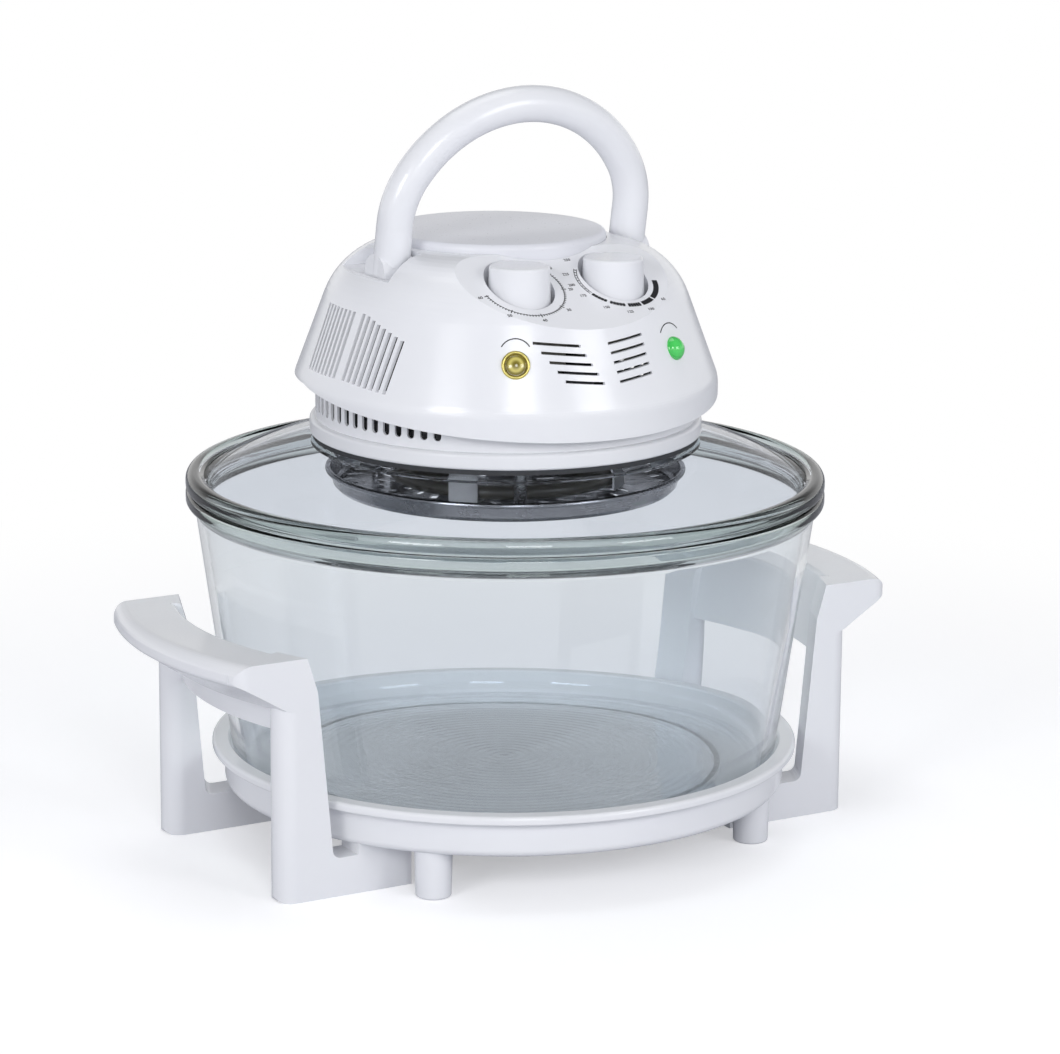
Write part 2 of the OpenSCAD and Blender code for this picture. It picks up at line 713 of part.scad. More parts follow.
module timer_unit() color([0.85, 0.84, 0.80]) control_unit(-1);
module timer_shaft() color(steel) control_shaft(-1);
module timer_knob() color(abs_white) control_knob(-1);
module thermostat_unit() color([0.85, 0.84, 0.80]) control_unit(1);
module thermostat_shaft() color(steel) control_shaft(1);
module temperature_knob() color(abs_white) control_knob(1);

module safety_switch() color([0.15, 0.15, 0.17])
    translate([-handle_x - 5, pivot_y - 10, z_pivot - hub_r - pocket_gap - pocket_t - 16]) cube([10, 20, 16]);

// ---------------------------------------------------------------- lamps and inlet

lamp_stem = 4;
lamp_turn = 27.1;
z_lamp = z_head + 52.8;
lamp_side = hood_r - waist_r + (waist_r) / cos(side_slope) - (z_lamp - z_waist) * tan(side_slope);

// Moves its children onto the front wall, Z pointing out of it
module lamp_place(sx) {
    rotate([0, 0, -90 + sx * lamp_turn]) translate([lamp_side, 0, z_lamp]) rotate([0, 90 - side_slope, 0]) children();
}

module lamp_lens(r) {
    dome_h = 1.8;
    dome_r = (r * r + dome_h * dome_h) / (2 * dome_h);
    rotate_extrude($fn = 48) polygon(concat(
        [[0, -7], [lamp_stem, -7], [lamp_stem, 0.15], [r, 0.15], [r, 1]],
        arc(0, 1 + dome_h - dome_r, dome_r, acos(r / dome_r), 90, 6)));
}

module power_lamp_lens() color([0.80, 0.70, 0.30]) lamp_place(-1) lamp_lens(4.8);
module heat_lamp_lens() color([0.25, 0.78, 0.32]) lamp_place(1) lamp_lens(5.4);

inlet_r = 6;
z_inlet = z_head + 46;

module inlet_place() {
    translate([0, hood_r - waist_r + (waist_r) / cos(side_slope) - (z_inlet - z_waist) * tan(side_slope), z_inlet])
        rotate([-90 + side_slope, 0, 0]) children();
}

module cord_inlet() color(rubber_grey) inlet_place() difference() {
    union() {
        translate([0, 0, -8]) cylinder(r = inlet_r, h = 9, $fn = 48);
        translate([0, 0, 0]) cylinder(r1 = inlet_r + 2.5, r2 = inlet_r + 1.5, h = 3, $fn = 48);
    }
    translate([0, 0, -10]) cylinder(r = 3.6, h = 20, $fn = 48);
}

// ---------------------------------------------------------------- handle

// Cylinders along the pivot axis, from a boss inside the hood into each leg
module pin_pair(r, gap) {
    for (sx = [-1, 1]) in_quadrant(sx, 1) translate([handle_x - pin_in - gap, pivot_y, z_pivot])
        rotate([0, 90, 0]) cylinder(r = r, h = pin_in + pin_out + 2 * gap, $fn = 48);
}

module handle_pins() color(steel) pin_pair(pin_r, 0);

// Three-centred arch on two straight legs, drawn upright with its pivot at the origin
module handle_bow() {
    top_half = 90 - bend_turn;
    bend_r = (arch_h - handle_x * tan(top_half / 2)) / (1 - tan(top_half / 2));
    bend_x = handle_x - bend_r;
    drop = bend_x / tan(top_half);
    top_r = arch_h + drop;
    // The bends are a hair thinner and reach a little way into the legs and the top
    seam = 1.2;
    bend_tube = handle_tube - 0.05;
    for (sx = [-1, 1]) {
        translate([sx * handle_x, 0, 0]) cylinder(r = handle_tube, h = leg_h, $fn = 64);
        translate([sx * handle_x, 0, 0]) rotate([0, 90, 0])
            translate([0, 0, -handle_tube + 0.3]) cylinder(r = hub_r, h = 2 * handle_tube - 0.6, $fn = 64);
    }
    for (side = [0, 1]) mirror([side, 0, 0]) translate([bend_x, 0, leg_h]) rotate([90, 0, 0]) rotate([0, 0, -seam])
        rotate_extrude(angle = bend_turn + 2 * seam, $fn = 96) translate([bend_r, 0]) circle(r = bend_tube, $fn = 64);
    translate([0, 0, leg_h - drop]) rotate([90, 0, 0]) rotate([0, 0, bend_turn])
        rotate_extrude(angle = 2 * top_half, $fn = 128) translate([top_r, 0]) circle(r = handle_tube, $fn = 64);
}

module carry_handle() color(abs_white) difference() {
    translate([0, pivot_y, z_pivot]) rotate([lean, 0, 0]) handle_bow();
    pin_pair(pin_r + run_fit, 0.2);
}

base_tray();
base_feet();
side_frame_left();
side_frame_right();
frame_screws();
glass_bowl();
glass_lid();
lid_gasket();
clamp_ring();
head_base();
hood();
top_cap();
hood_screws();
reflector();
heater_ring();
heater_terminals();
heater_brackets();
guard_spacers();
guard_tray();
guard_screws();
fan_motor();
motor_bracket();
motor_shaft();
cooling_fan();
convection_fan();
timer_unit();
timer_shaft();
timer_knob();
thermostat_unit();
thermostat_shaft();
temperature_knob();
safety_switch();
power_lamp_lens();
heat_lamp_lens();
handle_pins();
carry_handle();
cord_inlet();
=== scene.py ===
"""Halogen oven with a glass bowl: the visible pieces and their finishes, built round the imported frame.

Lengths in the classes are millimetres, in the frame's own axes, and turn to metres where a mesh is made.
"""

from __future__ import annotations

import logging
import math
from dataclasses import dataclass, field
from enum import Enum
from typing import Any, Callable

import bmesh
import bpy
from mathutils import Matrix, Vector
from mathutils.bvhtree import BVHTree


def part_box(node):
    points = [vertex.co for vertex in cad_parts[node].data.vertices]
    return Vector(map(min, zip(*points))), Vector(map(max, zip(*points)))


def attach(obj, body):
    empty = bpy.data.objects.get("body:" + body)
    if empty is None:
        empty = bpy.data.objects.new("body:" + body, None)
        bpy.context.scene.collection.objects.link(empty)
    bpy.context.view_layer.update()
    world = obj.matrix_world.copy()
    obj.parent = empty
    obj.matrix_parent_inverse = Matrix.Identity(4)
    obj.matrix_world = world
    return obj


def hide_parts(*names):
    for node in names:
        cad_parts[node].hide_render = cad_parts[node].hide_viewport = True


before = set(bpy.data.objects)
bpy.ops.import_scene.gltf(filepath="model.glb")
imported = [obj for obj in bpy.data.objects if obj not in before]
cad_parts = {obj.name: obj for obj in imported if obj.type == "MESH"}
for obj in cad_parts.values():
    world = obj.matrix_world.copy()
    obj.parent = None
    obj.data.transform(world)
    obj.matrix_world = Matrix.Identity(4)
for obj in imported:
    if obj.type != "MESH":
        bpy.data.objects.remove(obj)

LOG = logging.getLogger("halogen_oven")
IMAGE_W = 1060
SENSOR_W = 36.0
MM = 0.001
WHITE = (1.0, 1.0, 1.0, 1.0)

Point = tuple[float, float]
Socket = bpy.types.NodeSocket
Tree = bpy.types.NodeTree


class Body(Enum):
    """The CAD bodies that pieces ride on."""

    BOWL = "bowl"
    HEAD = "head"


class Slot(Enum):
    """The record's material slots, by name, passed along with new pieces but not read."""

    PLASTIC = "white_plastic"
    GLASS = "clear_glass"
    STEEL = "steel"
    PRINT = "black_plastic"


# ------------------------------------------------------------------ colours and nodes


def srgb(code: str) -> tuple[float, float, float, float]:
    """Turns a hex colour to linear light.

    Args:
        code: the colour as six hex digits, as it looks on a screen.

    Returns:
        Red, green, blue and alpha in linear light.
    """
    parts = [int(code[i : i + 2], 16) / 255 for i in (0, 2, 4)]
    lin = [c / 12.92 if c <= 0.04045 else ((c + 0.055) / 1.055) ** 2.4 for c in parts]
    return lin[0], lin[1], lin[2], 1.0


def add_node(
    tree: Tree, kind: str, settings: dict[str, Any] | None = None, inputs: dict[str | int, Any] | None = None
) -> bpy.types.Node:
    """Adds a node with its settings, its values and its links.

    Args:
        tree: the node tree that gets the node.
        kind: the node's type name.
        settings: properties of the node itself.
        inputs: values or output sockets for its inputs, by name or number.

    Returns:
        The new node.
    """
    made = tree.nodes.new(kind)
    for name, value in (settings or {}).items():
        setattr(made, name, value)
    for key, value in (inputs or {}).items():
        if isinstance(value, bpy.types.NodeSocket):
            tree.links.new(value, made.inputs[key])
        else:
            made.inputs[key].default_value = value
    return made


def calc(tree: Tree, operation: str, *terms: float | Socket) -> Socket:
    """Adds a Math node and returns its result.

    Args:
        tree: the node tree that gets it.
        operation: what it does.
        terms: its values or the sockets that feed it, in order.

    Returns:
        The socket of its result.
    """
    return add_node(tree, "ShaderNodeMath", {"operation": operation}, dict(enumerate(terms))).outputs["Value"]


def remap(tree: Tree, value: Socket, source: Point, target: Point = (0.0, 1.0), smooth: bool = False) -> Socket:
    """Adds a Map Range node and returns its result.

    Args:
        tree: the node tree that gets it.
        value: what it maps.
        source: the range that it maps from.
        target: the range that it maps to.
        smooth: whether the ends of the range are eased.

    Returns:
        The socket of its result.
    """
    settings = {"interpolation_type": "SMOOTHSTEP" if smooth else "LINEAR"}
    ends = {"From Min": source[0], "From Max": source[1], "To Min": target[0], "To Max": target[1]}
    return add_node(tree, "ShaderNodeMapRange", settings, {"Value": value, **ends}).outputs["Result"]


def blend(tree: Tree, factor: Socket, first: Any, second: Any) -> Socket:
    """Adds a mix of two colours and returns its result.

    Args:
        tree: the node tree that gets it.
        factor: the second colour's share.
        first: the first colour, or the socket that gives it.
        second: the second colour, or the socket that gives it.

    Returns:
        The socket of the mixed colour.
    """
    inputs = {"Factor": factor, "A": first, "B": second}
    return add_node(tree, "ShaderNodeMix", {"data_type": "RGBA"}, inputs).outputs["Result"]


def mix_shaders(tree: Tree, factor: Socket, first: Socket, second: Socket) -> Socket:
    """Adds a mix of two shaders and returns its result.

    Args:
        tree: the node tree that gets it.
        factor: the second shader's share.
        first: the first shader.
        second: the second shader.

    Returns:
        The socket of the mixed shader.
    """
    return add_node(tree, "ShaderNodeMixShader", inputs={0: factor, 1: first, 2: second}).outputs["Shader"]


def relief(tree: Tree, height: Socket, strength: float, depth_mm: float, under: Socket | None = None) -> Socket:
    """Adds a Bump node and returns its normal.

    Args:
        tree: the node tree that gets it.
        height: the pattern that it raises.
        strength: how much of the pattern shows.
        depth_mm: the pattern's full depth in millimetres.
        under: the normal of a coarser relief below it.

    Returns:
        The socket of the bent normal.
    """
    inputs: dict[str | int, Any] = {"Height": height, "Strength": strength, "Distance": depth_mm * MM}
    if under:
        inputs["Normal"] = under
    return add_node(tree, "ShaderNodeBump", inputs=inputs).outputs["Normal"]


def surface(tree: Tree, inputs: dict[str | int, Any]) -> Socket:
    """Adds a Principled shader and returns its result.

    Args:
        tree: the node tree that gets it.
        inputs: values or sockets for its inputs, by name.

    Returns:
        The socket of the shader.
    """
    return add_node(tree, "ShaderNodeBsdfPrincipled", inputs=inputs).outputs["BSDF"]


def finished(name: str, make: Callable[[Tree], Socket]) -> bpy.types.Material:
    """Makes a material from the shader that a function adds to its tree.

    Args:
        name: the material's name.
        make: the function, which is given the tree and returns the shader.

    Returns:
        The material.
    """
    made = bpy.data.materials.new(name)
    made.use_nodes = True
    made.node_tree.nodes.clear()
    add_node(made.node_tree, "ShaderNodeOutputMaterial", inputs={"Surface": make(made.node_tree)})
    return made


def position(tree: Tree) -> Socket:
    """Returns the socket of a point's place in metres, from a new node in the tree."""
    return add_node(tree, "ShaderNodeTexCoord").outputs["Object"]


def height(tree: Tree) -> Socket:
    """Returns the socket of a point's height in metres, from new nodes in the tree."""
    return add_node(tree, "ShaderNodeSeparateXYZ", inputs={0: position(tree)}).outputs["Z"]


def from_axis(tree: Tree) -> Socket:
    """Returns the socket of a point's distance in metres from the oven's upright axis."""
    inputs = {0: position(tree), 1: (1.0, 1.0, 0.0)}
    flat = add_node(tree, "ShaderNodeVectorMath", {"operation": "MULTIPLY"}, inputs).outputs["Vector"]
    return add_node(tree, "ShaderNodeVectorMath", {"operation": "LENGTH"}, {0: flat}).outputs["Value"]


def noise(tree: Tree, size_mm: float, detail: float = 2.0, at: Socket | None = None) -> Socket:
    """Adds a noise whose lumps are about one real size across.

    Args:
        tree: the node tree that gets the noise.
        size_mm: the width of a lump in millimetres.
        detail: how many finer layers it has.
        at: the coordinates that it is read at, if not the point's own.

    Returns:
        The socket of the noise's value.
    """
    inputs = {"Vector": at or position(tree), "Scale": 1 / (size_mm * MM), "Detail": detail}
    return add_node(tree, "ShaderNodeTexNoise", inputs=inputs).outputs["Fac"]


# ------------------------------------------------------------------ finishes


@dataclass(frozen=True)
class Hollow:
    """Painted shade for the inside of a round moulding behind its vents: a dark colour within a leaning wall and
    between two heights.
    """

    wall_r: float
    at_z: float
    lean: float
    low: float
    high: float
    # The painted shade's dark colour
    colour: str = "2C2D31"

    def mask(self, tree: Tree) -> Socket:
        """Returns the socket of the painted shade's mask in the tree: one inside the wall and nought on the skin."""
        z = height(tree)
        drop = calc(tree, "MULTIPLY_ADD", z, self.lean, from_axis(tree))
        within = calc(tree, "LESS_THAN", drop, (self.wall_r + self.lean * self.at_z) * MM)
        above = calc(tree, "GREATER_THAN", z, self.low * MM)
        below = calc(tree, "LESS_THAN", z, self.high * MM)
        return calc(tree, "MULTIPLY", calc(tree, "MULTIPLY", above, below), within)


@dataclass(frozen=True)
class MouldedPlastic:
    """Injection-moulded plastic: a smooth skin with a faint ripple and a fine, uneven gloss."""

    name: str
    colour: str
    shade: str
    roughness: float = 0.2
    ripple_mm: float = 45.0
    ripple_depth: float = 0.05
    ripple_height_mm: float = 2.0
    grain_mm: float = 1.4
    grain_detail: float = 3.0
    grain_range: Point = (0.3, 0.7)
    gloss_share: Point = (0.85, 1.2)
    index: float = 1.54
    # Painted shade inside the wall, where the moulding has one
    hollow: Hollow | None = None

    def shader(self, tree: Tree) -> Socket:
        """Returns the finish's shader, made in the tree."""
        ripple = noise(tree, self.ripple_mm)
        tone = blend(tree, ripple, srgb(self.colour), srgb(self.shade))
        # Inside the wall the tone gives way to the painted shade's dark colour, which stands in for the unlit inside
        if self.hollow:
            tone = blend(tree, self.hollow.mask(tree), tone, srgb(self.hollow.colour))
        dull, sharp = (self.roughness * share for share in self.gloss_share)
        gloss = remap(tree, noise(tree, self.grain_mm, self.grain_detail), self.grain_range, (dull, sharp))
        normal = relief(tree, ripple, self.ripple_depth, self.ripple_height_mm)
        return surface(tree, {"Base Color": tone, "Roughness": gloss, "Normal": normal, "IOR": self.index})


@dataclass(frozen=True)
class PressedGlass:
    """Pressed soda-lime glass: cool grey through its walls, greener along its rim, with a slight flow in its skin."""

    name: str
    tint: str
    edge: str
    rim_from_mm: float
    rim_blend_mm: float = 1.5
    index: float = 1.5
    polish: float = 0.0
    shade: str = "F8FAFA"
    flow_mm: float = 90.0
    flow_depth: float = 0.02
    flow_height_mm: float = 2.0
    ring_mm: float = 5.0
    ring_depth: float = 0.0
    ring_reach_mm: Point = (112.0, 120.0)
    ring_top_mm: Point = (42.0, 48.0)

    def floor_rings(self, tree: Tree) -> Socket:
        """Adds the fine turned rings that the mould leaves on a glass floor.

        Args:
            tree: the node tree that gets them.

        Returns:
            The socket of the rings' height, nought above the floor and beyond its edge.
        """
        out = from_axis(tree)
        wave = calc(tree, "SINE", calc(tree, "MULTIPLY", out, 2 * math.pi / (self.ring_mm * MM)))
        top, reach = (tuple(end * MM for end in span) for span in (self.ring_top_mm, self.ring_reach_mm))
        low = remap(tree, height(tree), top, (1.0, 0.0))
        near = remap(tree, out, reach, (self.ring_depth, 0.0))
        return calc(tree, "MULTIPLY", calc(tree, "MULTIPLY", low, near), wave)

    def shader(self, tree: Tree) -> Socket:
        """Returns the finish's shader, made in the tree, which lets lamps reach what stands behind it."""
        normal = relief(tree, noise(tree, self.flow_mm, 0.0), self.flow_depth, self.flow_height_mm)
        if self.ring_depth > 0:
            normal = relief(tree, self.floor_rings(tree), 1.0, 1.0, normal)
        rim = remap(tree, from_axis(tree), (self.rim_from_mm * MM, (self.rim_from_mm + self.rim_blend_mm) * MM))
        glass = surface(
            tree,
            {
                "Base Color": blend(tree, rim, srgb(self.tint), srgb(self.edge)),
                "Roughness": 0.0,
                "IOR": self.index,
                "Transmission Weight": 1.0,
                "Coat Weight": self.polish,
                "Normal": normal,
            },
        )
        clear = add_node(tree, "ShaderNodeBsdfTransparent", inputs={"Color": srgb(self.shade)}).outputs["BSDF"]
        return mix_shaders(tree, add_node(tree, "ShaderNodeLightPath").outputs["Is Shadow Ray"], glass, clear)


@dataclass(frozen=True)
class Steel:
    """Stamped steel: fine rolling lines and a cloudy polish."""

    name: str
    colour: str
    roughness: float = 0.22
    line_mm: float = 0.9
    line_stretch: float = 0.05
    line_depth: float = 0.03
    line_height_mm: float = 0.2
    cloud_mm: float = 14.0
    cloud_range: Point = (0.1, 0.4)
    gloss_share: Point = (0.7, 1.5)

    def shader(self, tree: Tree) -> Socket:
        """Returns the finish's shader, made in the tree."""
        inputs = {"Vector": position(tree), "Scale": (self.line_stretch, 1.0, 1.0)}
        along = add_node(tree, "ShaderNodeMapping", inputs=inputs).outputs["Vector"]
        lines = noise(tree, self.line_mm, at=along)
        cloud = calc(tree, "MULTIPLY", lines, noise(tree, self.cloud_mm))
        sharp, dull = (self.roughness * share for share in self.gloss_share)
        return surface(
            tree,
            {
                "Base Color": srgb(self.colour),
                "Metallic": 1.0,
                "Roughness": remap(tree, cloud, self.cloud_range, (sharp, dull)),
                "Normal": relief(tree, lines, self.line_depth, self.line_height_mm),
            },
        )


@dataclass(frozen=True)
class MattPiece:
    """Dull material such as silicone, fired ceramic or printing ink, mottled by a fine grit."""

    name: str
    colour: str
    shade: str
    roughness: float
    grit_mm: float = 1.0
    grit_detail: float = 3.0
    grit_depth: float = 0.15
    grit_height_mm: float = 0.1

    def shader(self, tree: Tree) -> Socket:
        """Returns the finish's shader, made in the tree."""
        grit = noise(tree, self.grit_mm, self.grit_detail)
        tone = blend(tree, grit, srgb(self.colour), srgb(self.shade))
        normal = relief(tree, grit, self.grit_depth, self.grit_height_mm)
        return surface(tree, {"Base Color": tone, "Roughness": self.roughness, "Normal": normal})


@dataclass(frozen=True)
class LampLens:
    """Tinted polycarbonate lens: coloured through, with fine rings pressed in its back."""

    name: str
    colour: str
    deep: str
    ring_mm: float
    centre: tuple[float, float, float]
    roughness: float = 0.12
    index: float = 1.58
    polish: float = 0.5

    def shader(self, tree: Tree) -> Socket:
        """Returns the finish's shader, made in the tree, with its rings round the lens's own centre."""
        inputs = {0: position(tree), 1: tuple(c * MM for c in self.centre)}
        away = add_node(tree, "ShaderNodeVectorMath", {"operation": "DISTANCE"}, inputs).outputs["Value"]
        wave = calc(tree, "SINE", calc(tree, "MULTIPLY", away, 2 * math.pi / (self.ring_mm * MM)))
        tone = blend(tree, remap(tree, wave, (-1.0, 1.0)), srgb(self.colour), srgb(self.deep))
        inputs = {"Base Color": tone, "Roughness": self.roughness, "IOR": self.index, "Coat Weight": self.polish}
        return surface(tree, inputs)


class Finish(Enum):
    """Every finish on the oven, by the stuff that the real one is made of; the hood, collar and cap finishes also
    carry painted shade.
    """

    # Gloss ABS gives the eye a cool white that holds soft, wide highlights
    ABS = MouldedPlastic("gloss_abs", "F1F2F5", "EBECF1")
    # Behind their vents the same mouldings get painted shade, a dark colour inside the wall, so that the slots read
    # black
    HOOD_ABS = MouldedPlastic("gloss_abs_hood_shaded_inside", "F1F2F5", "EBECF1", hollow=Hollow(98.6, 262.8, 0.372, 247.0, 279.0))
    COLLAR_ABS = MouldedPlastic("gloss_abs_collar_shaded_inside", "F1F2F5", "EBECF1", hollow=Hollow(96.6, 0.0, 0.0, 213.0, 240.0))
    # The cap is the same plastic a touch duller, straight from the tool, and its colour is a touch greyer as painted
    # shade on its upward face
    ABS_SATIN = MouldedPlastic("satin_abs_shaded", "E8E9EE", "E1E2E9", roughness=0.32, ripple_depth=0.03)
    # Pressed glass is a cool grey through both walls and green-grey along its rims
    BOWL_GLASS = PressedGlass("soda_lime_glass", "ECEFF2", "AFBCB9", 160.3, ring_depth=0.012)
    LID_GLASS = PressedGlass("tempered_glass", "EDEFF3", "AFBCB9", 157.0)
    # The lid's even, thin dome hardly bends or mirrors anything, so the guard stands clear behind it
    DOME_GLASS = PressedGlass("tempered_glass_dome", "E4E7ED", "AFBCB9", 157.0, index=1.03, polish=0.2)
    # Heat-browned polished steel reads dark with bright streaks
    GUARD_STEEL = Steel("polished_stainless", "8A8B8E", 0.2)
    BRIGHT_STEEL = Steel("zinc_plated_steel", "CCCED1", 0.42)
    # The amber lamp's bezel is plastic with a pale gilt plating, brushed soft
    GILT = Steel("gilt_chromed_plastic", "D9CC7A", 0.36)
    # Silicone is a dead flat charcoal line
    SILICONE = MattPiece("silicone_rubber", "3A3C40", "2E3034", 0.65)
    # Fired steatite: chalky, warm white
    CERAMIC = MattPiece("steatite_ceramic", "E9E5D9", "DDD8CA", 0.55)
    # The quartz tube is frosted and shows its coil as an olive-brown core
    QUARTZ = MattPiece("frosted_quartz", "34332A", "29281F", 0.3, 2.5)
    MOTOR = MattPiece("lacquered_laminations", "55524C", "45423D", 0.5)
    PHENOLIC = MattPiece("moulded_phenolic", "D6D2C4", "CBC6B6", 0.5)
    BLACK = MattPiece("black_nylon", "1B1B1D", "131315", 0.5)
    # Pad-printed ink lies flat and dark with a slight break-up
    INK = MattPiece("pad_print_ink", "101014", "1E1E24", 0.5, 0.6)

    @property
    def material(self) -> bpy.types.Material:
        """The finish's material, made once."""
        return bpy.data.materials.get(self.value.name) or finished(self.value.name, self.value.shader)


def dress(node: str, finish: bpy.types.Material) -> None:
    """Gives a CAD node a better material in all its slots.

    Args:
        node: the CAD node's name.
        finish: the material that it gets.
    """
    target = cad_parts[node]
    if not target.material_slots:
        target.data.materials.append(finish)
    for place in target.material_slots:
        place.material = finish


# ------------------------------------------------------------------ mesh helpers


WELD = 0.0005
CREASE = math.radians(32.0)
BLOCK_STEP = 3.0


def arc(cx: float, cy: float, radius: float, start: float, end: float, count: int = 8) -> list[Point]:
    """Points along a circle's arc.

    Args:
        cx: the centre across.
        cy: the centre up.
        radius: the arc's radius.
        start: the first angle in degrees.
        end: the last angle in degrees.
        count: how many steps it takes.

    Returns:
        The points from start to end.
    """
    turns = [math.radians(start + (end - start) * i / count) for i in range(count + 1)]
    return [(cx + radius * math.cos(t), cy + radius * math.sin(t)) for t in turns]


def finish_mesh(bm: bmesh.types.BMesh, name: str, material: bpy.types.Material) -> bpy.types.Object:
    """Turns a bmesh in millimetres to an object at the origin, smooth but for its sharp edges.

    Args:
        bm: the mesh, which is used up.
        name: the piece's name.
        material: its material.

    Returns:
        The new object, linked to the scene.
    """
    bmesh.ops.remove_doubles(bm, verts=bm.verts[:], dist=WELD)
    bmesh.ops.recalc_face_normals(bm, faces=bm.faces[:])
    for edge in bm.edges:
        edge.smooth = len(edge.link_faces) == 2 and edge.calc_face_angle(0.0) < CREASE
    for face in bm.faces:
        face.smooth = True
    bmesh.ops.scale(bm, vec=(MM, MM, MM), verts=bm.verts[:])
    mesh = bpy.data.meshes.new(name)
    bm.to_mesh(mesh)
    bm.free()
    mesh.materials.append(material)
    made = bpy.data.objects.new(name, mesh)
    bpy.context.scene.collection.objects.link(made)
    return made


def spin(bm: bmesh.types.BMesh, line: list[Any], degrees: float, steps: int) -> None:
    """Turns a line about the Z axis and leaves the surface that it sweeps, closed after a full turn.

    Args:
        bm: the mesh that holds the line.
        line: the line's points and edges.
        degrees: how far it turns.
        steps: how many facets the turn has.
    """
    bmesh.ops.spin(
        bm,
        geom=line,
        cent=(0, 0, 0),
        axis=(0, 0, 1),
        dvec=(0, 0, 0),
        angle=math.radians(degrees),
        steps=steps,
        use_merge=degrees == 360,
        use_normal_flip=False,
        use_duplicate=False,
    )


def spin_outline(outline: list[Point], steps: int) -> bmesh.types.BMesh:
    """Turns a closed outline in radius and height once round the Z axis.

    Args:
        outline: the outline's points, in order.
        steps: how many facets the turn has.

    Returns:
        The turned solid's mesh.
    """
    bm = bmesh.new()
    ring = [bm.verts.new((r, 0.0, z)) for r, z in outline]
    spin(bm, ring + [bm.edges.new((ring[i - 1], ring[i])) for i in range(len(ring))], 360, steps)
    return bm


def curved_block(start: float, end: float, inner: float, outer: float, thick: float) -> bmesh.types.BMesh:
    """Spins a short line into a flat, curved block on the XY plane.

    Args:
        start: the first angle in degrees.
        end: the last angle in degrees.
        inner: the inner radius.
        outer: the outer radius.
        thick: how far it stands up.

    Returns:
        The block's mesh.
    """
    bm = bmesh.new()
    turn = math.radians(start)
    ends = [bm.verts.new((r * math.cos(turn), r * math.sin(turn), 0.0)) for r in (inner, outer)]
    spin(bm, [*ends, bm.edges.new(ends)], end - start, max(2, int(abs(end - start) / BLOCK_STEP)))
    grown = bmesh.ops.extrude_face_region(bm, geom=bm.faces[:])["geom"]
    lifted = [g for g in grown if isinstance(g, bmesh.types.BMVert)]
    bmesh.ops.translate(bm, vec=(0, 0, thick), verts=lifted)
    return bm


# ------------------------------------------------------------------ the frame's own sizes


@dataclass(frozen=True)
class FrameSizes:
    """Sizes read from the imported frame, in millimetres."""

    lip_r: float
    bowl_low: float
    bowl_top: float
    lid_low: float
    lid_top: float
    hood_top: float

    @classmethod
    def read(cls) -> FrameSizes:
        """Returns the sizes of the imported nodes."""
        bowl = [Vector(c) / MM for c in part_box("glass_bowl")]
        lid = [Vector(c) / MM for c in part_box("glass_lid")]
        hood = [Vector(c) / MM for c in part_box("hood")]
        return cls(
            lip_r=(bowl[1].x - bowl[0].x) / 2,
            bowl_low=bowl[0].z,
            bowl_top=bowl[1].z,
            lid_low=lid[0].z,
            lid_top=lid[1].z,
            hood_top=hood[1].z,
        )


# ------------------------------------------------------------------ glass


